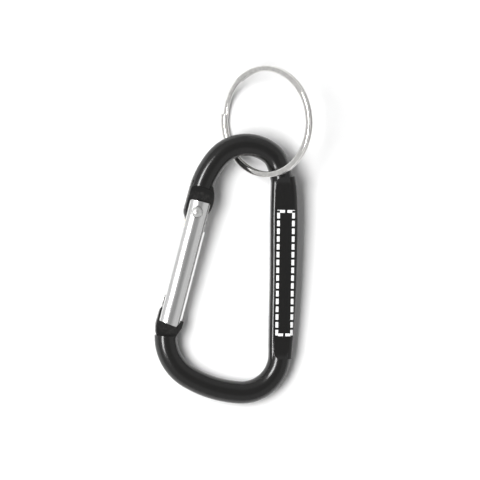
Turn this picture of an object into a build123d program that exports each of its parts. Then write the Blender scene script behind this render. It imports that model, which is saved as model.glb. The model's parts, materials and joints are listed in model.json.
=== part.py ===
"""Carabiner keyring: a bent rod body, a sprung gate on a rivet, and a double-turn split ring.

Frame: +Y runs up the spine towards the split ring, +X from the gate side to the spine, +Z up.
The keyring lies at rest on the plane Z = 0. The split ring passes under the body, so the body
leans on it and its own plane, the seat, is tilted a few degrees.
"""

from build123d import *
from math import asin, cos, pi, radians, sin
import os

os.makedirs("parts", exist_ok=True)

# ---------------------------------------------------------------- seat of the body
SEAT_ORIGIN = (1.976, -7.257, 4.28)  # the body's own origin, with the origin of the frame under the keyring
LEAN = 3.65  # degrees, the ring end is raised
ROLL = 0.56  # degrees, the spine side is lower

# ---------------------------------------------------------------- body, a bent rod
ROD_DIAMETER = 5.0
HINGE_END = (-8.94, 16.96)  # start of the centreline, at the hinge shoulder
HINGE_HEADING = 75.8  # degrees, direction of the centreline there
# the bends follow each other clockwise, tangent to tangent: (radius, angle turned)
TOP_BENDS = [(18.4, 26.1), (8.55, 90.0), (4.92, 28.5), (18.6, 19.0)]
SPINE_BOW = (320.0, 6.7)
BOTTOM_BENDS = [(8.4, 89.4), (25.3, 27.3), (10.5, 60.8)]

# the spine is pressed flat on both faces
SPINE_THICKNESS = 3.8
SPINE_EDGE_RADIUS = 1.1
SPINE_LONG_EDGE = 30.0  # its edges longer than this are the rounded ones
# edges of the pressed spine, wider than the rod, from the ring end down
SPINE_OUTER_EDGE = [(12.15, 20.3), (12.6, 17.9), (12.8, 15.0), (12.8, 2.0), (12.35, -9.0), (11.45, -20.3)]
SPINE_INNER_EDGE = [(6.4, -20.3), (6.45, -13.0), (6.67, -2.0), (6.75, 12.0), (7.0, 20.3)]
FLAT_HALF_LENGTH = 18.1  # level part of the flats
FLAT_RUNOUT = 2.1  # length over which the flats rise back to the round rod

# both ends of the rod are coined flat where they enter the gate
TONGUE_THICKNESS = 2.8
TONGUE_EDGE_RADIUS = 0.25
NOSE_STEP_CENTRE = (26.5, 0.2)  # in the gate's plane, middle of the round step at the nose
NOSE_STEP_RADIUS = 4.0
COIN_CUT = 2.0  # more than the rod stands above the tongues

# ---------------------------------------------------------------- gate, a bored and slotted bar
GATE_END = (-8.97, 14.76)  # centre of the hinge end
GATE_TILT = 14.6  # degrees between the gate and the Y axis
GATE_DIAMETER = 5.6
GATE_BORE = 4.4
GATE_LENGTH = 27.7
GATE_OVERHANG = 0.2  # of the cheeks past the gate's hinge end
NOSE_TRIM = 0.5  # of the bar beyond the length, cut away askew
CUT_MARGIN = 1.0  # of cuts past the surface they break through
SLOT_HEIGHT = 3.2
HINGE_SLOT = 6.2  # depth of the slot for the hinge tongue, through both sides
NOSE_SLOT = 5.9  # depth of the slot for the nose tongue, through the outer side only
HINGE_BORE_DEPTH = 15.5
NOSE_BORE_DEPTH = 6.3
GATE_CORNER = 0.55  # corner radius of the two cheeks at the hinge end

# ---------------------------------------------------------------- hinge rivet
RIVET_U = 2.25  # from the gate's hinge end
RIVET_V = -0.3  # towards the outer side
RIVET_DIAMETER = 1.7
RIVET_CLEARANCE = 0.05
RIVET_HEAD = 2.5
RIVET_DOME = 0.75
RIVET_SEAT = 2.55  # height of the flats spot-faced on the gate for the heads
RIVET_SEAT_MARGIN = 0.05  # of the flats round the heads
STEP_RADIUS = 5.75  # from the rivet to the step where the full rod starts

# tip of the hinge tongue: a disc round the rivet, with a flat that the plunger bears on
TIP_RADIUS = 2.75
CAM_FLAT = 2.2  # from the rivet to the flat
CAM_CUT = (4.0, 8.0)  # the cut that makes the flat

# ---------------------------------------------------------------- plunger and spring
PLUNGER_GAP = 0.12
PLUNGER_CLEARANCE = 0.06
PLUNGER_LENGTH = 4.0
PLUNGER_EDGE = 0.3
SPIGOT_DIAMETER = 2.4
SPIGOT_LENGTH = 1.6
SPRING_DIAMETER = 3.9
SPRING_WIRE = 0.5
SPRING_TURNS = 6.5
SPRING_END_GAP = 0.05

# solids that are joined end to end run this far into each other
JOIN = 0.1

# ---------------------------------------------------------------- split ring
RING_DIAMETER = 24.7
RING_WIRE_WIDTH = 1.3
RING_WIRE_THICKNESS = 0.75
RING_CENTRE = (5.56, 32.6, 2.7)
RING_TILT = 43.6  # degrees from the seat, the spine side is raised
RING_UPPER_END = 173.0  # degrees round the ring, where the upper turn ends
RING_LOWER_END = 129.0  # where the lower turn ends, with the crossover between the two
CROSSOVER_OVERLAP = 0.6  # of the crossover into both turns


# ---------------------------------------------------------------- planes
seat = Plane(Location(SEAT_ORIGIN, (LEAN, ROLL, 0)))


def placed(plane, position, turn=(0, 0, 0)):
    """The plane moved and turned within itself."""
    return Plane(plane.location * Location(position) * Location((0, 0, 0), turn))


# in the gate's plane, X runs down the gate from the hinge, and Y points into the body's loop
gate_plane = placed(seat, (*GATE_END, 0), (0, 0, -90 - GATE_TILT))
rivet_plane = placed(gate_plane, (RIVET_U, RIVET_V, 0))
ring_plane = placed(seat, RING_CENTRE, (0, -RING_TILT, 0))


def across_gate(u):
    """The plane square to the gate, u from its hinge end."""
    return placed(gate_plane, (u, 0, 0), (0, 90, 0))


# ---------------------------------------------------------------- carabiner body
def bend(start, direction, radius, angle):
    return JernArc(start=start, tangent=direction, radius=radius, arc_size=-angle)


with BuildLine(seat) as centreline:
    heading = (cos(radians(HINGE_HEADING)), sin(radians(HINGE_HEADING)))
    curve = bend(HINGE_END, heading, *TOP_BENDS[0])
    for radius, angle in TOP_BENDS[1:]:
        curve = bend(curve @ 1, curve % 1, radius, angle)
    curve = bend(curve @ 1, curve % 1, *SPINE_BOW)
    for radius, angle in BOTTOM_BENDS:
        curve = bend(curve @ 1, curve % 1, radius, angle)

# outline of the hinge tongue and its shoulder, in the gate's plane
with BuildSketch(gate_plane) as hinge_outline:
    with BuildLine():
        outer = RIVET_V - TIP_RADIUS
        inner = RIVET_V + TIP_RADIUS
        Polyline((RIVET_U, outer), (-4.3, outer + 0.1), (-4.3, 1.7))
        ThreePointArc((-4.3, 1.7), (-1.6, 2.85), (RIVET_U, inner))
        ThreePointArc((RIVET_U, inner), (RIVET_U + TIP_RADIUS, RIVET_V), (RIVET_U, outer))
    make_face()
    with Locations((RIVET_U + CAM_FLAT + CAM_CUT[0] / 2, 0)):
        Rectangle(*CAM_CUT, mode=Mode.SUBTRACT)

# outline of the nose tongue and its shoulder, in the gate's plane
with BuildSketch(gate_plane) as nose_outline:
    with BuildLine():
        ThreePointArc((32.4, -1.2), (30.0, -2.4), (28.0, -2.75))
        Line((28.0, -2.75), (25.6, -2.7))
        ThreePointArc((25.6, -2.7), (24.4, -2.2), (23.9, -1.0))
        Line((23.9, -1.0), (23.9, 0.7))
        ThreePointArc((23.9, 0.7), (24.1, 1.2), (24.6, 1.45))
        Polyline((24.6, 1.45), (28.0, 1.6), (28.3, 1.75), (26.75, 2.6))
        ThreePointArc((26.75, 2.6), (26.65, 2.95), (27.0, 3.1))
        Polyline((27.0, 3.1), (28.2, 3.05), (30.2, 2.3), (32.4, 2.2), (32.4, -1.2))
    make_face()

# the pressed spine, wider than the rod and with rounded edges
with BuildPart() as pressed_spine:
    with BuildSketch(seat.offset(-SPINE_THICKNESS / 2)):
        with BuildLine():
            Spline(*SPINE_OUTER_EDGE)
            Line(SPINE_OUTER_EDGE[-1], SPINE_INNER_EDGE[0])
            Spline(*SPINE_INNER_EDGE)
            Line(SPINE_INNER_EDGE[-1], SPINE_OUTER_EDGE[0])
        make_face()
    extrude(amount=SPINE_THICKNESS)
    long_edges = pressed_spine.edges().filter_by(lambda edge: edge.length > SPINE_LONG_EDGE)
    fillet(long_edges, SPINE_EDGE_RADIUS)

# the two coined tongues with their shoulders
with BuildPart() as hinge_tongue:
    add(hinge_outline.sketch)
    extrude(amount=TONGUE_THICKNESS / 2, both=True)
    hinge_faces = hinge_tongue.faces().filter_by(Axis(rivet_plane.origin, seat.z_dir))
    fillet(hinge_faces.edges(), TONGUE_EDGE_RADIUS)

with BuildPart() as nose_tongue:
    add(nose_outline.sketch)
    extrude(amount=TONGUE_THICKNESS / 2, both=True)

with BuildPart() as carabiner_body:
    # the round rod
    with BuildSketch(Plane(origin=centreline.line @ 0, z_dir=centreline.line % 0)):
        Circle(ROD_DIAMETER / 2)
    sweep(path=centreline.line)
    add(pressed_spine.part)

    # the flats are cut level on both faces, and rise to the round rod at their ends
    level = SPINE_THICKNESS / 2
    for side in (1, -1):
        with BuildSketch(placed(seat, (4.0, 0, 0), (0, 90, 0))):
            # in this plane X points down from the seat and Y up the spine
            rise = ROD_DIAMETER / 2 - level
            end_y = FLAT_HALF_LENGTH + FLAT_RUNOUT
            with BuildLine():
                z_low = -side * level
                z_high = -side * (level + rise)
                z_out = -side * ROD_DIAMETER
                run_radius = (FLAT_RUNOUT**2 + rise**2) / (2 * rise)
                mid_turn = asin(FLAT_RUNOUT / run_radius) / 2
                mid_y = FLAT_HALF_LENGTH + run_radius * sin(mid_turn)
                mid_z = -side * (level + run_radius * (1 - cos(mid_turn)))
                Line((z_low, -FLAT_HALF_LENGTH), (z_low, FLAT_HALF_LENGTH))
                ThreePointArc((z_low, FLAT_HALF_LENGTH), (mid_z, mid_y), (z_high, end_y))
                Polyline((z_high, end_y), (z_out, end_y), (z_out, -end_y), (z_high, -end_y))
                ThreePointArc((z_high, -end_y), (mid_z, -mid_y), (z_low, -FLAT_HALF_LENGTH))
            make_face()
        extrude(amount=11.0, mode=Mode.SUBTRACT)

    # the ends are coined: the rod is stepped down, and the tongues are added
    coin = TONGUE_THICKNESS / 2
    for side in (1, -1):
        with BuildSketch(rivet_plane.offset(side * coin)):
            Circle(STEP_RADIUS)
        extrude(amount=side * COIN_CUT, mode=Mode.SUBTRACT)
        with BuildSketch(placed(gate_plane, (*NOSE_STEP_CENTRE, side * coin))):
            Circle(NOSE_STEP_RADIUS)
        extrude(amount=side * COIN_CUT, mode=Mode.SUBTRACT)
    add(hinge_tongue.part)
    add(nose_tongue.part)
    with BuildSketch(rivet_plane.offset(-coin)):
        Circle(RIVET_DIAMETER / 2 + RIVET_CLEARANCE)
    extrude(amount=2 * coin, mode=Mode.SUBTRACT)

carabiner_body.part.label = "carabiner_body"
export_step(carabiner_body.part, "parts/carabiner_body.step")

# ---------------------------------------------------------------- gate sleeve
with BuildPart() as gate_sleeve:
    with BuildSketch(across_gate(-GATE_OVERHANG)):
        Circle(GATE_DIAMETER / 2)
    extrude(amount=GATE_OVERHANG + GATE_LENGTH + NOSE_TRIM)
    with BuildSketch(across_gate(-CUT_MARGIN)):
        Circle(GATE_BORE / 2)
    extrude(amount=HINGE_BORE_DEPTH + CUT_MARGIN, mode=Mode.SUBTRACT)
    with BuildSketch(across_gate(GATE_LENGTH - NOSE_BORE_DEPTH)):
        Circle(GATE_BORE / 2)
    extrude(amount=NOSE_BORE_DEPTH + 2 * CUT_MARGIN, mode=Mode.SUBTRACT)

    # slots for the two tongues
    with BuildSketch(gate_plane):
        with Locations((HINGE_SLOT / 2 - CUT_MARGIN, 0)):
            Rectangle(HINGE_SLOT + 2 * CUT_MARGIN, 2 * GATE_DIAMETER)
        with Locations((GATE_LENGTH - NOSE_SLOT / 2 + CUT_MARGIN, -GATE_DIAMETER / 2)):
            Rectangle(NOSE_SLOT + 2 * CUT_MARGIN, GATE_DIAMETER)
    extrude(amount=SLOT_HEIGHT / 2, both=True, mode=Mode.SUBTRACT)

    # the nose end is cut slightly askew, and its inner corner is cut away to clear the body
    with BuildSketch(gate_plane):
        with BuildLine():
            Polyline((27.4, -3.2), (28.06, 1.62), (25.4, 3.15), (25.4, 5), (30, 5), (30, -3.2), close=True)
        make_face()
    extrude(amount=GATE_DIAMETER, both=True, mode=Mode.SUBTRACT)

    # rounded corners of the cheeks at the hinge end
    cheek = ((GATE_DIAMETER / 2) ** 2 - (SLOT_HEIGHT / 2) ** 2) ** 0.5
    corner_u = GATE_CORNER - GATE_OVERHANG
    with BuildSketch(gate_plane):
        for side in (1, -1):
            with BuildLine():
                ThreePointArc(
                    (-GATE_OVERHANG, side * (cheek - GATE_CORNER)),
                    (corner_u - GATE_CORNER * cos(pi / 4), side * (cheek - GATE_CORNER * (1 - sin(pi / 4)))),
                    (corner_u, side * cheek),
                )
                Polyline(
                    (corner_u, side * cheek),
                    (corner_u, side * (cheek + CUT_MARGIN)),
                    (-CUT_MARGIN, side * (cheek + CUT_MARGIN)),
                    (-CUT_MARGIN, side * (cheek - GATE_CORNER)),
                    (-GATE_OVERHANG, side * (cheek - GATE_CORNER)),
                )
            make_face()
    extrude(amount=GATE_DIAMETER, both=True, mode=Mode.SUBTRACT)

    # seats for the rivet's heads, and its hole through both cheeks
    for side in (1, -1):
        with BuildSketch(rivet_plane.offset(side * RIVET_SEAT)):
            Circle(RIVET_HEAD / 2 + RIVET_SEAT_MARGIN)
        extrude(amount=side * CUT_MARGIN, mode=Mode.SUBTRACT)
    with BuildSketch(rivet_plane.offset(-GATE_DIAMETER)):
        Circle(RIVET_DIAMETER / 2)
    extrude(amount=2 * GATE_DIAMETER, mode=Mode.SUBTRACT)

gate_sleeve.part.label = "gate_sleeve"
export_step(gate_sleeve.part, "parts/gate_sleeve.step")

# ---------------------------------------------------------------- hinge rivet
crest = GATE_DIAMETER / 2
head_radius = RIVET_HEAD / 2
shank_radius = RIVET_DIAMETER / 2
back_dome = 0.7 * RIVET_DOME

with BuildPart() as hinge_rivet:
    # shank, a domed head in front, and a lower head upset at the back
    with BuildSketch(rivet_plane.offset(-RIVET_SEAT - JOIN)):
        Circle(shank_radius)
    extrude(amount=2 * (RIVET_SEAT + JOIN))
    for side, dome in ((1, RIVET_DOME), (-1, back_dome)):
        with BuildSketch(rivet_plane.offset(side * RIVET_SEAT)):
            Circle(head_radius)
        extrude(amount=side * (crest - RIVET_SEAT + dome))
    rivet_axis = Axis(rivet_plane.origin, rivet_plane.z_dir)
    head_rims = hinge_rivet.edges().filter_by(lambda edge: abs(edge.length - 2 * pi * head_radius) < 0.01)
    fillet(head_rims.sort_by(rivet_axis)[-1], RIVET_DOME)
    fillet(head_rims.sort_by(rivet_axis)[0], back_dome)

hinge_rivet.part.label = "hinge_rivet"
export_step(hinge_rivet.part, "parts/hinge_rivet.step")

# ---------------------------------------------------------------- spring plunger
plunger_start = RIVET_U + CAM_FLAT + PLUNGER_GAP
plunger_end = plunger_start + PLUNGER_LENGTH
with BuildPart() as spring_plunger:
    with BuildSketch(across_gate(plunger_start)):
        Circle(GATE_BORE / 2 - PLUNGER_CLEARANCE)
    extrude(amount=PLUNGER_LENGTH)
    fillet(spring_plunger.edges().filter_by(GeomType.CIRCLE), PLUNGER_EDGE)
    with BuildSketch(across_gate(plunger_end - JOIN)):
        Circle(SPIGOT_DIAMETER / 2)
    extrude(amount=SPIGOT_LENGTH + JOIN)

spring_plunger.part.label = "spring_plunger"
export_step(spring_plunger.part, "parts/spring_plunger.step")

# ---------------------------------------------------------------- gate spring
spring_length = HINGE_BORE_DEPTH - plunger_end
with BuildPart() as gate_spring:
    coil_radius = (SPRING_DIAMETER - SPRING_WIRE) / 2
    coil_height = spring_length - SPRING_WIRE - 2 * SPRING_END_GAP
    coil_plane = across_gate(plunger_end + SPRING_WIRE / 2 + SPRING_END_GAP)
    with BuildLine() as coil:
        Helix(
            pitch=coil_height / SPRING_TURNS,
            height=coil_height,
            radius=coil_radius,
            center=coil_plane.origin,
            direction=coil_plane.z_dir,
        )
    with BuildSketch(Plane(origin=coil.line @ 0, z_dir=coil.line % 0)):
        Circle(SPRING_WIRE / 2)
    sweep(path=coil.line, is_frenet=True)

gate_spring.part.label = "gate_spring"
export_step(gate_spring.part, "parts/gate_spring.step")

# ---------------------------------------------------------------- split ring
ring_middle = (RING_DIAMETER - RING_WIRE_WIDTH) / 2
turn_arc = 360 - (RING_UPPER_END - RING_LOWER_END)
# the crossover steps from the upper turn down to the lower one, and runs a little into both
crossover_middle = (RING_UPPER_END + RING_LOWER_END) / 2
crossover_half = ring_middle * sin(radians((RING_UPPER_END - RING_LOWER_END) / 2))
crossover_reach = crossover_half + CROSSOVER_OVERLAP
tangent_plane = placed(ring_plane, (0, 0, 0), (0, 0, crossover_middle + 90))
with BuildPart() as crossover:
    with BuildSketch(placed(tangent_plane, (0, 0, 0), (90, 0, 0))):
        with BuildLine():
            Polyline(
                (-crossover_reach, 0),
                (-crossover_half, 0),
                (crossover_half, -RING_WIRE_THICKNESS),
                (crossover_reach, -RING_WIRE_THICKNESS),
                (crossover_reach, 0),
                (crossover_half, 0),
                (-crossover_half, RING_WIRE_THICKNESS),
                (-crossover_reach, RING_WIRE_THICKNESS),
                close=True,
            )
        make_face()
    extrude(amount=RING_DIAMETER)
    with BuildSketch(ring_plane.offset(-2 * RING_WIRE_THICKNESS)):
        Circle(RING_DIAMETER / 2)
        Circle(RING_DIAMETER / 2 - RING_WIRE_WIDTH, mode=Mode.SUBTRACT)
    extrude(amount=4 * RING_WIRE_THICKNESS, mode=Mode.INTERSECT)

with BuildPart() as split_ring:
    # two turns of flat wire, one on the other, each open over the crossover
    for layer in (1, -1):
        section_plane = placed(
            placed(ring_plane, (0, 0, layer * RING_WIRE_THICKNESS / 2), (0, 0, RING_UPPER_END)),
            (0, 0, 0),
            (90, 0, 0),
        )
        with BuildSketch(section_plane):
            with Locations((ring_middle, 0)):
                Rectangle(RING_WIRE_WIDTH, RING_WIRE_THICKNESS)
        revolve(axis=Axis(ring_plane.origin, ring_plane.z_dir), revolution_arc=turn_arc)
    add(crossover.part)

split_ring.part.label = "split_ring"
export_step(split_ring.part, "parts/split_ring.step")
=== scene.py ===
"""Carabiner keyring: finishes for the body, the gate and its rivet, a wound split ring, and a studio."""

import json
import math

import bmesh
import bpy
from mathutils import Matrix, Vector


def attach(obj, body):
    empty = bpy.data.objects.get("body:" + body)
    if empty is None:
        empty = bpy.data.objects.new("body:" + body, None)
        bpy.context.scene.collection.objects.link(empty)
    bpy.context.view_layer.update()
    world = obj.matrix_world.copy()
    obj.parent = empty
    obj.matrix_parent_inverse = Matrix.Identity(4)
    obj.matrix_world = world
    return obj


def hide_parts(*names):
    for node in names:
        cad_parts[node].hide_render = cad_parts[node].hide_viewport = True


bl_info = {
    "name": "Carabiner Keyring",
    "version": (1, 0, 0),
    "blender": (4, 5, 0),
    "location": "3D View > Sidebar > Keyring",
    "description": "Finishes a carabiner keyring: anodised body, bright gate, split ring and a small studio",
    "category": "Object",
}

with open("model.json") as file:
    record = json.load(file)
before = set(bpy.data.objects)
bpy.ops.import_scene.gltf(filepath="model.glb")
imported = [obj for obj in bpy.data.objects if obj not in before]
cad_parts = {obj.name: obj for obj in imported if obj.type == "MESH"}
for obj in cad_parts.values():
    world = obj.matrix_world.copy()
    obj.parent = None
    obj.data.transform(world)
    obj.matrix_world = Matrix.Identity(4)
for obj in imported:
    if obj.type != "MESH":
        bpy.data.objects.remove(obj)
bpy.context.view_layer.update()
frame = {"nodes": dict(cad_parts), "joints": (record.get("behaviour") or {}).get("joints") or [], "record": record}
MM = 0.001

# the outline on the flat: its middle in the seat's x and y, in mm, and its turn in radians
OUTLINE_MIDDLE = (9.87, -1.09)
OUTLINE_TURN = math.radians(0.88)
# share of the pitch that a dash takes, and half the gap between the two dashes across an end, in mm
DASH_SHARE = 0.72
END_GAP = 0.26
SOFT = 0.02  # edge softness of the print, in mm
# the turned rivet, in mm: radii of head and shank, height of the head's seat, height of each dome over it
RIVET_SIZE = {"head": 1.25, "shank": 0.85, "seat": 2.55, "front": 0.98, "back": 0.76}
CAMERA_DISTANCE = 0.75
LIGHT_DISTANCE = 0.6
FLOOR_REACH = 1.5
AIM_ABOVE_SEAT = 6.23 * MM  # from the seat's origin up the spine to the middle of the view


# ---------------------------------------------------------------- places taken from the record
def record_joint(name):
    return next(j for j in frame["joints"] if j["name"] == name)


def record_mount(name):
    return next(m for m in frame["record"]["mounts"] if m["name"] == name)


SEAT_Z = Vector(record_joint("gate_hinge")["axis"]).normalized()
SEAT_Y = -Vector(record_joint("ring_tilt")["axis"]).normalized()
SEAT_X = SEAT_Y.cross(SEAT_Z).normalized()
GATE_U = Vector(record_joint("plunger_slide")["axis"]).normalized()
GATE_V = SEAT_Z.cross(GATE_U).normalized()
RIVET = Vector(record_joint("gate_hinge")["pos_m"])
# the flat's mount stands 9.7 mm to the spine side of the seat's origin and 1.9 mm above it
SEAT = Vector(record_mount("spine_face")["pos_m"]) - SEAT_X * 9.7 * MM - SEAT_Z * 1.9 * MM
KEY_SEAT = Vector(record_mount("key_seat")["pos_m"])


# ---------------------------------------------------------------- settings
class KeyringBody(bpy.types.PropertyGroup):
    """Black anodised rod and the outline printed on its flat"""

    colour: bpy.props.FloatVectorProperty(
        name="Colour", description="Anodised colour", subtype="COLOR", size=3, min=0, max=1,
        default=(0.0062, 0.0060, 0.0058),
    )
    roughness: bpy.props.FloatProperty(
        name="Roughness", description="Gloss of the round rod", subtype="FACTOR", min=0, max=1, default=0.2
    )
    coined_roughness: bpy.props.FloatProperty(
        name="Coined roughness", description="Gloss of the coined ends", subtype="FACTOR", min=0, max=1,
        default=0.3,
    )
    outline_colour: bpy.props.FloatVectorProperty(
        name="Outline colour", description="Ink of the dashed outline", subtype="COLOR", size=3, min=0, max=1,
        default=(0.9, 0.9, 0.9),
    )
    outline_width: bpy.props.FloatProperty(
        name="Outline width", description="Width between the dashed lines", subtype="DISTANCE",
        unit="LENGTH", default=3.34 * MM,
    )
    outline_length: bpy.props.FloatProperty(
        name="Outline length", description="Length of the dashed outline", subtype="DISTANCE",
        unit="LENGTH", default=27.45 * MM,
    )
    dash_pitch: bpy.props.FloatProperty(
        name="Dash pitch", description="From one dash to the next", subtype="DISTANCE", unit="LENGTH",
        default=1.735 * MM,
    )
    dash_stroke: bpy.props.FloatProperty(
        name="Dash stroke", description="Thickness of the dashed line", subtype="DISTANCE", unit="LENGTH",
        default=0.62 * MM,
    )


class KeyringGate(bpy.types.PropertyGroup):
    """Bright gate, its rivet and the parts inside it"""

    colour: bpy.props.FloatVectorProperty(
        name="Colour", description="Aluminium colour", subtype="COLOR", size=3, min=0, max=1,
        default=(0.86, 0.86, 0.855),
    )
    roughness: bpy.props.FloatProperty(
        name="Roughness", description="Gloss of the drawn bar", subtype="FACTOR", min=0, max=1, default=0.22
    )
    rivet_colour: bpy.props.FloatVectorProperty(
        name="Rivet colour", description="Colour of the rivet", subtype="COLOR", size=3, min=0, max=1,
        default=(0.8, 0.8, 0.79),
    )


class KeyringRing(bpy.types.PropertyGroup):
    """Flat wire split ring"""

    colour: bpy.props.FloatVectorProperty(
        name="Colour", description="Nickel colour", subtype="COLOR", size=3, min=0, max=1,
        default=(0.82, 0.81, 0.79),
    )
    roughness: bpy.props.FloatProperty(
        name="Roughness", description="Gloss of the plating", subtype="FACTOR", min=0, max=1, default=0.13
    )
    diameter: bpy.props.FloatProperty(
        name="Diameter", description="Outside diameter", subtype="DISTANCE", unit="LENGTH", default=24.7 * MM
    )
    wire_width: bpy.props.FloatProperty(
        name="Wire width", description="Width of the wire, across the ring", subtype="DISTANCE", unit="LENGTH",
        default=1.3 * MM,
    )
    wire_thickness: bpy.props.FloatProperty(
        name="Wire thickness", description="Thickness of one turn", subtype="DISTANCE", unit="LENGTH",
        default=0.75 * MM,
    )
    tilt: bpy.props.FloatProperty(
        name="Tilt", description="Tilt from the body's plane", subtype="ANGLE", unit="ROTATION",
        default=math.radians(43.6),
    )
    upper_end: bpy.props.FloatProperty(
        name="Upper end", description="Where the upper turn ends", subtype="ANGLE", unit="ROTATION",
        default=math.radians(173.0),
    )
    lower_end: bpy.props.FloatProperty(
        name="Lower end", description="Where the lower turn ends", subtype="ANGLE", unit="ROTATION",
        default=math.radians(129.0),
    )


class KeyringStage(bpy.types.PropertyGroup):
    """Floor, lights and camera"""

    camera_lean: bpy.props.FloatProperty(
        name="Camera lean", description="How far the camera stands to the gate side of straight above",
        subtype="ANGLE", unit="ROTATION", default=math.radians(5.5),
    )
    view_width: bpy.props.FloatProperty(
        name="View width", description="Width of the view at the body", subtype="DISTANCE", unit="LENGTH",
        default=106.5 * MM,
    )
    key_radiance: bpy.props.FloatProperty(
        name="Key light", description="Radiance of the long softbox", min=0, default=13.0
    )
    floor_colour: bpy.props.FloatVectorProperty(
        name="Floor colour", description="Pale floor", subtype="COLOR", size=3, min=0, max=1,
        default=(0.93, 0.93, 0.93),
    )


# ---------------------------------------------------------------- node helpers
class Finish:
    """A node material for one metal, with short calls for the maths between its nodes."""

    def __init__(self, name):
        self.material = bpy.data.materials.new(name)
        self.material.use_nodes = True
        self.tree = self.material.node_tree
        self.shader = self.tree.nodes["Principled BSDF"]
        self.place = self.node("ShaderNodeTexCoord").outputs["Object"]

    def node(self, kind, **settings):
        made = self.tree.nodes.new(kind)
        for key, value in settings.items():
            setattr(made, key, value)
        return made

    def feed(self, socket, value):
        if isinstance(value, bpy.types.NodeSocket):
            self.tree.links.new(value, socket)
        else:
            socket.default_value = value

    def maths(self, operation, *values):
        made = self.node("ShaderNodeMath", operation=operation)
        for socket, value in zip(made.inputs, values):
            self.feed(socket, value)
        return made.outputs[0]

    def along(self, axis, origin):
        """Distance along an axis from an origin, in millimetres."""
        offset = self.node("ShaderNodeVectorMath", operation="SUBTRACT")
        self.feed(offset.inputs[0], self.place)
        offset.inputs[1].default_value = origin
        dot = self.node("ShaderNodeVectorMath", operation="DOT_PRODUCT")
        self.feed(dot.inputs[0], offset.outputs[0])
        dot.inputs[1].default_value = axis
        return self.maths("MULTIPLY", dot.outputs["Value"], 1 / MM)

    def distance(self, centre):
        """Distance from a point, in millimetres."""
        made = self.node("ShaderNodeVectorMath", operation="DISTANCE")
        self.feed(made.inputs[0], self.place)
        made.inputs[1].default_value = centre
        return self.maths("MULTIPLY", made.outputs["Value"], 1 / MM)

    def spread(self, value, low, high):
        """A smooth ramp from 0 at low to 1 at high."""
        made = self.node("ShaderNodeMapRange", interpolation_type="SMOOTHSTEP")
        for socket, given in zip(made.inputs, (value, low, high)):
            self.feed(socket, given)
        return made.outputs[0]

    def grain(self, vector, scale, detail=3.0, roughness=0.55):
        """Noise from 0 to 1."""
        made = self.node("ShaderNodeTexNoise")
        self.feed(made.inputs["Vector"], vector)
        made.inputs["Scale"].default_value = scale
        made.inputs["Detail"].default_value = detail
        made.inputs["Roughness"].default_value = roughness
        return made.outputs["Fac"]

    def joined(self, x, y, z):
        """One vector out of three values."""
        made = self.node("ShaderNodeCombineXYZ")
        for socket, value in zip(made.inputs, (x, y, z)):
            self.feed(socket, value)
        return made.outputs[0]

    def blended(self, factor, first, second):
        """A colour between two colours."""
        made = self.node("ShaderNodeMix", data_type="RGBA")
        self.feed(made.inputs[0], factor)
        for socket, value in ((made.inputs[6], first), (made.inputs[7], second)):
            self.feed(socket, value if isinstance(value, bpy.types.NodeSocket) else (*value, 1.0))
        return made.outputs[2]

    def relief(self, height, distance, strength, edge=0.0):
        """Bump from a height, over edges softened to a small radius."""
        made = self.node("ShaderNodeBump")
        made.inputs["Strength"].default_value = strength
        made.inputs["Distance"].default_value = distance
        self.feed(made.inputs["Height"], height)
        if edge:
            soft = self.node("ShaderNodeBevel", samples=6)
            soft.inputs["Radius"].default_value = edge
            self.feed(made.inputs["Normal"], soft.outputs[0])
        self.feed(self.shader.inputs["Normal"], made.outputs[0])

    def dress(self, obj):
        obj.data.materials.clear()
        obj.data.materials.append(self.material)


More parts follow.
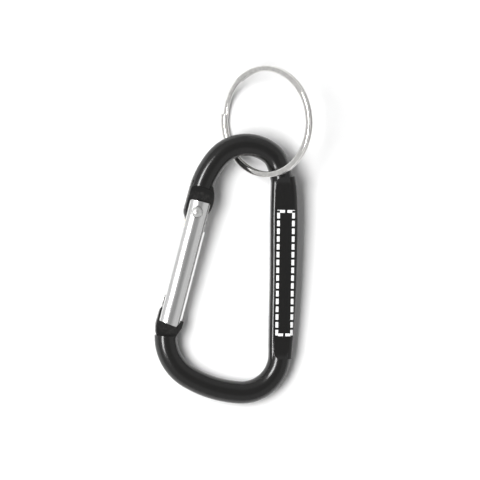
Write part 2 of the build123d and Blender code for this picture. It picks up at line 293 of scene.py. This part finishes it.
# ---------------------------------------------------------------- finishes
def anodised_black(settings):
    """Glossy black on the rod, matt and mottled on the coined ends with a painted shadow crescent under each step, a
    dashed outline on the flat.
    """
    made = Finish("anodised black")
    x = made.along(SEAT_X, SEAT)
    y = made.along(SEAT_Y, SEAT)
    z = made.along(SEAT_Z, SEAT)

    # the coined ends, next to the gate
    from_rivet = made.distance(RIVET)
    near_hinge = made.spread(from_rivet, 6.0, 5.6)
    from_nose = made.distance(RIVET + (GATE_U * 24.25 + GATE_V * 0.5) * MM)
    near_nose = made.spread(from_nose, 4.85, 4.5)
    flat_height = made.spread(made.maths("ABSOLUTE", z), 1.6, 1.45)
    coined = made.maths("MULTIPLY", made.maths("MAXIMUM", near_hinge, near_nose), flat_height)

    mottle = made.grain(made.place, 2600, 4.0, 0.7)
    cloud = made.grain(made.place, 260, 2.0)
    haze = made.spread(mottle, 0.42, 0.7)

    # a dashed outline, printed on the front flat only and turned with the spine
    middle = OUTLINE_MIDDLE
    turn = OUTLINE_TURN
    px = made.maths("SUBTRACT", x, middle[0])
    py = made.maths("SUBTRACT", y, middle[1])
    across = made.maths("SUBTRACT", made.maths("MULTIPLY", px, math.cos(turn)),
                        made.maths("MULTIPLY", py, math.sin(turn)))
    down = made.maths("SUBTRACT", made.maths("MULTIPLY", py, -math.cos(turn)),
                      made.maths("MULTIPLY", px, math.sin(turn)))
    half_width = settings.outline_width / MM / 2
    half_length = settings.outline_length / MM / 2
    stroke = settings.dash_stroke / MM / 2
    pitch = settings.dash_pitch / MM

    def on_line(distance, place):
        gap = made.maths("ABSOLUTE", made.maths("SUBTRACT", made.maths("ABSOLUTE", distance), place))
        return made.spread(gap, stroke + SOFT, stroke - SOFT)

    def within(distance, limit):
        return made.spread(made.maths("ABSOLUTE", distance), limit + SOFT, limit - SOFT)

    def dashes(distance, start):
        step = made.maths("FRACT", made.maths("DIVIDE", made.maths("SUBTRACT", distance, start), pitch))
        return made.spread(made.maths("ABSOLUTE", made.maths("SUBTRACT", step, DASH_SHARE / 2)),
                           DASH_SHARE / 2 + 0.012, DASH_SHARE / 2 - 0.012)

    sides = made.maths("MULTIPLY", on_line(across, half_width), within(down, half_length + stroke))
    sides = made.maths("MULTIPLY", sides, dashes(down, -half_length + stroke))
    # two dashes across each end
    ends = made.maths("MULTIPLY", on_line(down, half_length), within(across, half_width - stroke))
    ends = made.maths("MULTIPLY", ends, made.spread(made.maths("ABSOLUTE", across), END_GAP - SOFT, END_GAP + SOFT))
    front = made.spread(z, 1.0, 1.3)
    ink = made.maths("MULTIPLY", made.maths("MAXIMUM", sides, ends), front)

    base = made.blended(haze, settings.colour, [c * 1.5 for c in settings.colour])
    # the coined ends are darkened towards black and their mottle lightens them again, except in a crescent under each
    # step that stays black as painted shadow of the step
    mottle_clear_of_step_shadow = made.maths("MAXIMUM", made.spread(from_rivet, 4.9, 4.6), made.spread(from_nose, 4.0, 3.7))
    mottle_clear_of_step_shadow = made.maths("MULTIPLY", made.maths("MULTIPLY", coined, mottle_clear_of_step_shadow), haze)
    # near-black on the coined ends: their own dark tone, and in the crescent under each step a painted shadow
    base = made.blended(made.maths("MULTIPLY", coined, 0.6), base, (0.0025, 0.0025, 0.0025))
    base = made.blended(mottle_clear_of_step_shadow, base, (0.028, 0.027, 0.026))
    base = made.blended(ink, base, settings.outline_colour)
    made.feed(made.shader.inputs["Base Color"], base)

    gloss = made.maths("ADD", settings.roughness - 0.04, made.maths("MULTIPLY", cloud, 0.08))
    rough = made.node("ShaderNodeMix", data_type="FLOAT")
    made.feed(rough.inputs[0], coined)
    made.feed(rough.inputs[2], gloss)
    rough.inputs[3].default_value = settings.coined_roughness
    inked = made.maths("MAXIMUM", rough.outputs[0], made.maths("MULTIPLY", ink, 0.5))
    made.feed(made.shader.inputs["Roughness"], inked)
    made.shader.inputs["IOR"].default_value = 1.5
    height = made.maths("ADD", made.maths("MULTIPLY", mottle, coined), made.maths("MULTIPLY", cloud, 0.15))
    made.relief(height, 0.03 * MM, 0.6, edge=0.12 * MM)
    return made


def bright_bar(name, colour, roughness, axis, origin, edge):
    """Drawn aluminium: fine streaks along an axis, with light scuffs."""
    made = Finish(name)
    side = axis.cross(SEAT_Z).normalized()
    lengthways = made.along(axis, origin)
    streak_place = made.joined(
        made.along(side, origin), made.maths("MULTIPLY", lengthways, 0.03), made.along(SEAT_Z, origin)
    )
    streak = made.grain(streak_place, 7.0, 4.0, 0.6)
    scuff = made.grain(made.place, 900, 3.0, 0.6)
    made.feed(
        made.shader.inputs["Base Color"],
        made.blended(made.spread(streak, 0.3, 0.7), [c * 0.9 for c in colour], colour),
    )
    rough = made.maths("ADD", roughness - 0.06, made.maths("MULTIPLY", streak, 0.1))
    rough = made.maths("ADD", rough, made.maths("MULTIPLY", made.spread(scuff, 0.62, 0.75), 0.1))
    made.feed(made.shader.inputs["Roughness"], rough)
    made.shader.inputs["Metallic"].default_value = 1.0
    made.relief(streak, 0.01 * MM, 0.2, edge=edge)
    return made


def spun_metal(name, colour, roughness, edge=0.0):
    """Plain turned or plated metal with faint pitting."""
    made = Finish(name)
    pits = made.grain(made.place, 1500, 3.0, 0.6)
    made.feed(
        made.shader.inputs["Base Color"],
        made.blended(made.spread(pits, 0.35, 0.65), [c * 0.88 for c in colour], colour),
    )
    made.feed(
        made.shader.inputs["Roughness"],
        made.maths("ADD", roughness - 0.03, made.maths("MULTIPLY", pits, 0.08)),
    )
    made.shader.inputs["Metallic"].default_value = 1.0
    made.relief(pits, 0.01 * MM, 0.3, edge=edge)
    return made


# ---------------------------------------------------------------- meshes
def skin(mesh, rings):
    """Faces between each closed row of vertices and the next."""
    for first, second in zip(rings, rings[1:]):
        for k in range(len(first)):
            n = (k + 1) % len(first)
            mesh.faces.new((first[k], first[n], second[n], second[k]))


def placed_mesh(mesh, name, most_corners):
    """An object from the mesh, smooth but for faces with more corners than given."""
    bmesh.ops.recalc_face_normals(mesh, faces=mesh.faces)
    data = bpy.data.meshes.new(name)
    mesh.to_mesh(data)
    mesh.free()
    for face in data.polygons:
        face.use_smooth = len(face.vertices) <= most_corners
    made = bpy.data.objects.new(name, data)
    bpy.context.scene.collection.objects.link(made)
    return made


def wire_section(width, thickness, corner, steps=5):
    """Rounded section of the flat wire, as (across, up) pairs."""
    points = []
    for sx, sy, start in ((1, 1, 0), (-1, 1, 90), (-1, -1, 180), (1, -1, 270)):
        for k in range(steps):
            a = math.radians(start + 90 * k / (steps - 1))
            points.append(
                (sx * (width / 2 - corner) + corner * math.cos(a), sy * (thickness / 2 - corner) + corner * math.sin(a))
            )
    return points


def wound_ring(settings):
    """One wire through two turns: free end, upper turn, crossover, lower turn, free end."""
    across = SEAT_X * math.cos(settings.tilt) + SEAT_Z * math.sin(settings.tilt)
    upright = SEAT_Z * math.cos(settings.tilt) - SEAT_X * math.sin(settings.tilt)
    middle = (settings.diameter - settings.wire_width) / 2
    centre = KEY_SEAT - SEAT_Y * (settings.diameter / 2 - settings.wire_width)
    start = settings.upper_end
    step_from = settings.lower_end + 2 * math.pi
    step_to = settings.upper_end + 2 * math.pi
    finish = settings.lower_end + 4 * math.pi
    gap = 0.012 * MM
    rise = settings.wire_thickness / 2
    section = wire_section(settings.wire_width, settings.wire_thickness - 2 * gap, 0.33 * MM)

    def height(angle):
        share = min(1.0, max(0.0, (angle - step_from) / (step_to - step_from)))
        eased = share * share * (3 - 2 * share)
        return rise - 2 * rise * (0.65 * share + 0.35 * eased)

    stations = 340
    angles = [start + (finish - start) * k / stations for k in range(stations + 1)]
    nib = 0.09 * MM / middle
    path = [(angles[0], 0.82), (angles[0] + nib * 0.35, 0.95), (angles[0] + nib, 1.0)]
    path += [(a, 1.0) for a in angles[1:-1]]
    path += [(angles[-1] - nib, 1.0), (angles[-1] - nib * 0.35, 0.95), (angles[-1], 0.82)]

    mesh = bmesh.new()
    rings = []
    for angle, swell in path:
        out = across * math.cos(angle) + SEAT_Y * math.sin(angle)
        foot = centre + out * middle + upright * height(angle)
        rings.append([mesh.verts.new(foot + out * (u * swell) + upright * (v * swell)) for u, v in section])
    skin(mesh, rings)
    mesh.faces.new(list(reversed(rings[0])))
    mesh.faces.new(rings[-1])
    return placed_mesh(mesh, "split_ring_wire", most_corners=4)


def domed_rivet(head, shank, seat, front, back, sides=64, steps=12):
    """Turned rivet on the gate's hinge axis: a dome in front, a shank, and a lower dome at the back."""
    quarter = [math.pi / 2 * k / steps for k in range(steps + 1)]
    profile = [(head * math.sin(a), -seat - back * math.cos(a)) for a in quarter[1:]]
    profile += [(shank, -seat), (shank, seat)]
    profile += [(head * math.cos(a), seat + front * math.sin(a)) for a in quarter[:-1]]
    mesh = bmesh.new()
    rings = []
    for radius, height in profile:
        turned = []
        for k in range(sides):
            a = 2 * math.pi * k / sides
            out = GATE_U * math.cos(a) + GATE_V * math.sin(a)
            turned.append(mesh.verts.new(RIVET + (out * radius + SEAT_Z * height) * MM))
        rings.append(turned)
    skin(mesh, rings)
    for ring, height in ((rings[0], -seat - back), (rings[-1], seat + front)):
        pole = mesh.verts.new(RIVET + SEAT_Z * height * MM)
        for k in range(sides):
            mesh.faces.new((ring[k], ring[(k + 1) % sides], pole))
    return placed_mesh(mesh, "domed_rivet", most_corners=4)


# ---------------------------------------------------------------- operators
class KEYRING_OT_body(bpy.types.Operator):
    """Finish the carabiner's body in black, with the outline on its flat"""

    bl_idname = "keyring.body"
    bl_label = "Body finish"

    def execute(self, context):
        anodised_black(context.scene.keyring_body).dress(frame["nodes"]["carabiner_body"])
        return {"FINISHED"}


class KEYRING_OT_gate(bpy.types.Operator):
    """Finish the gate, its rivet, and the plunger and spring inside it"""

    bl_idname = "keyring.gate"
    bl_label = "Gate finish"

    def execute(self, context):
        settings = context.scene.keyring_gate
        bar = bright_bar("bright drawn bar", settings.colour, settings.roughness, GATE_U, RIVET, 0.1 * MM)
        bar.dress(frame["nodes"]["gate_sleeve"])
        rivet = domed_rivet(**RIVET_SIZE)
        spun_metal("rivet", settings.rivet_colour, 0.3).dress(rivet)
        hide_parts("hinge_rivet")
        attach(rivet, "gate")
        spun_metal("spring wire", (0.5, 0.5, 0.5), 0.3).dress(frame["nodes"]["gate_spring"])
        spun_metal("turned brass", (0.75, 0.58, 0.3), 0.25).dress(frame["nodes"]["spring_plunger"])
        return {"FINISHED"}


class KEYRING_OT_ring(bpy.types.Operator):
    """Wind the split ring from flat wire and plate it"""

    bl_idname = "keyring.ring"
    bl_label = "Split ring"

    def execute(self, context):
        settings = context.scene.keyring_ring
        ring = wound_ring(settings)
        spun_metal("nickel plate", settings.colour, settings.roughness).dress(ring)
        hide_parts("split_ring")
        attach(ring, "ring")
        return {"FINISHED"}


class KEYRING_OT_stage(bpy.types.Operator):
    """Lay the floor, hang the lights and set the camera above"""

    bl_idname = "keyring.stage"
    bl_label = "Floor, lights and camera"

    def execute(self, context):
        scene = context.scene
        settings = scene.keyring_stage
        aim = SEAT + SEAT_Y * AIM_ABOVE_SEAT

        floor_mesh = bpy.data.meshes.new("floor")
        reach = FLOOR_REACH
        floor_mesh.from_pydata([(-reach, -reach, 0), (reach, -reach, 0), (reach, reach, 0), (-reach, reach, 0)],
                               [], [(0, 1, 2, 3)])
        floor = bpy.data.objects.new("floor", floor_mesh)
        scene.collection.objects.link(floor)
        paper = Finish("pale floor")
        fibre = paper.grain(paper.place, 400, 3.0)
        pale = settings.floor_colour
        paper.feed(paper.shader.inputs["Base Color"],
                   paper.blended(fibre, [c * 0.985 for c in pale], pale))
        paper.shader.inputs["Roughness"].default_value = 0.9
        paper.shader.inputs["Specular IOR Level"].default_value = 0.1
        paper.dress(floor)

        # a softbox high on the gate side throws the shadows, and a strip beside it shows in the metal
        for name, lean, size, radiance, hidden in (
            ("key softbox", 29.0, (0.27, 0.44), settings.key_radiance, "visible_glossy"),
            ("strip", 37.5, (0.15, 0.44), settings.key_radiance * 1.5, "visible_diffuse"),
        ):
            data = bpy.data.lights.new(name, "AREA")
            data.shape = "RECTANGLE"
            data.size, data.size_y = size
            data.energy = radiance * math.pi * size[0] * size[1]
            lamp = bpy.data.objects.new(name, data)
            setattr(lamp, hidden, False)
            back = Vector((-math.sin(math.radians(lean)), 0.0, math.cos(math.radians(lean))))
            lamp.matrix_world = aimed(aim + back * LIGHT_DISTANCE, back)
            scene.collection.objects.link(lamp)

        # the room: dark overhead, lighter towards the horizon
        world = bpy.data.worlds.new("studio room")
        world.use_nodes = True
        tree = world.node_tree
        sky = tree.nodes["Background"]
        sky.inputs["Color"].default_value = (1.0, 1.0, 1.0, 1.0)
        direction = tree.nodes.new("ShaderNodeTexCoord")
        parts = tree.nodes.new("ShaderNodeSeparateXYZ")
        ramp = tree.nodes.new("ShaderNodeMapRange")
        ramp.interpolation_type = "SMOOTHSTEP"
        tree.links.new(direction.outputs["Generated"], parts.inputs[0])
        tree.links.new(parts.outputs["Z"], ramp.inputs[0])
        for socket, value in zip(ramp.inputs[1:5], (0.72, 0.95, 0.62, 0.3)):
            socket.default_value = value
        # matt surfaces get less of the room, so that shadows stay deep
        ray = tree.nodes.new("ShaderNodeLightPath")
        share = tree.nodes.new("ShaderNodeMapRange")
        tree.links.new(ray.outputs["Is Diffuse Ray"], share.inputs[0])
        for socket, value in zip(share.inputs[3:5], (1.0, 0.5)):
            socket.default_value = value
        strength = tree.nodes.new("ShaderNodeMath")
        strength.operation = "MULTIPLY"
        tree.links.new(ramp.outputs[0], strength.inputs[0])
        tree.links.new(share.outputs[0], strength.inputs[1])
        tree.links.new(strength.outputs[0], sky.inputs["Strength"])
        scene.world = world

        camera_data = bpy.data.cameras.new("camera")
        camera_data.sensor_width = 36.0
        camera_data.lens = camera_data.sensor_width * CAMERA_DISTANCE / settings.view_width
        camera = bpy.data.objects.new("camera", camera_data)
        back = Vector((-math.sin(settings.camera_lean), 0.0, math.cos(settings.camera_lean)))
        camera.matrix_world = aimed(aim + back * CAMERA_DISTANCE, back)
        camera_data.clip_start, camera_data.clip_end = 0.01, 10.0
        scene.collection.objects.link(camera)
        scene.camera = camera
        scene.view_settings.view_transform = "Standard"
        return {"FINISHED"}


def aimed(position, back):
    """Placement at a position, looking along minus back, with the spine's direction upwards."""
    across = SEAT_Y.cross(back).normalized()
    up = back.cross(across).normalized()
    turn = Matrix((across, up, back)).transposed().to_4x4()
    return Matrix.Translation(position) @ turn


class KEYRING_PT_panel(bpy.types.Panel):
    """Keyring tools in the sidebar"""

    bl_label = "Carabiner keyring"
    bl_idname = "KEYRING_PT_panel"
    bl_space_type = "VIEW_3D"
    bl_region_type = "UI"
    bl_category = "Keyring"

    def draw(self, context):
        scene = context.scene
        for settings, operator in (
            (scene.keyring_body, "keyring.body"),
            (scene.keyring_gate, "keyring.gate"),
            (scene.keyring_ring, "keyring.ring"),
            (scene.keyring_stage, "keyring.stage"),
        ):
            box = self.layout.box()
            for name in settings.__annotations__:
                box.prop(settings, name)
            box.operator(operator)


CLASSES = (
    KeyringBody, KeyringGate, KeyringRing, KeyringStage,
    KEYRING_OT_body, KEYRING_OT_gate, KEYRING_OT_ring, KEYRING_OT_stage, KEYRING_PT_panel,
)


def register():
    for cls in CLASSES:
        bpy.utils.register_class(cls)
    bpy.types.Scene.keyring_body = bpy.props.PointerProperty(type=KeyringBody)
    bpy.types.Scene.keyring_gate = bpy.props.PointerProperty(type=KeyringGate)
    bpy.types.Scene.keyring_ring = bpy.props.PointerProperty(type=KeyringRing)
    bpy.types.Scene.keyring_stage = bpy.props.PointerProperty(type=KeyringStage)


def unregister():
    for name in ("keyring_stage", "keyring_ring", "keyring_gate", "keyring_body"):
        delattr(bpy.types.Scene, name)
    for cls in reversed(CLASSES):
        bpy.utils.unregister_class(cls)


def main():
    register()
    bpy.ops.keyring.stage()
    bpy.ops.keyring.body()
    bpy.ops.keyring.gate()
    bpy.ops.keyring.ring()


if __name__ == "__main__":
    main()
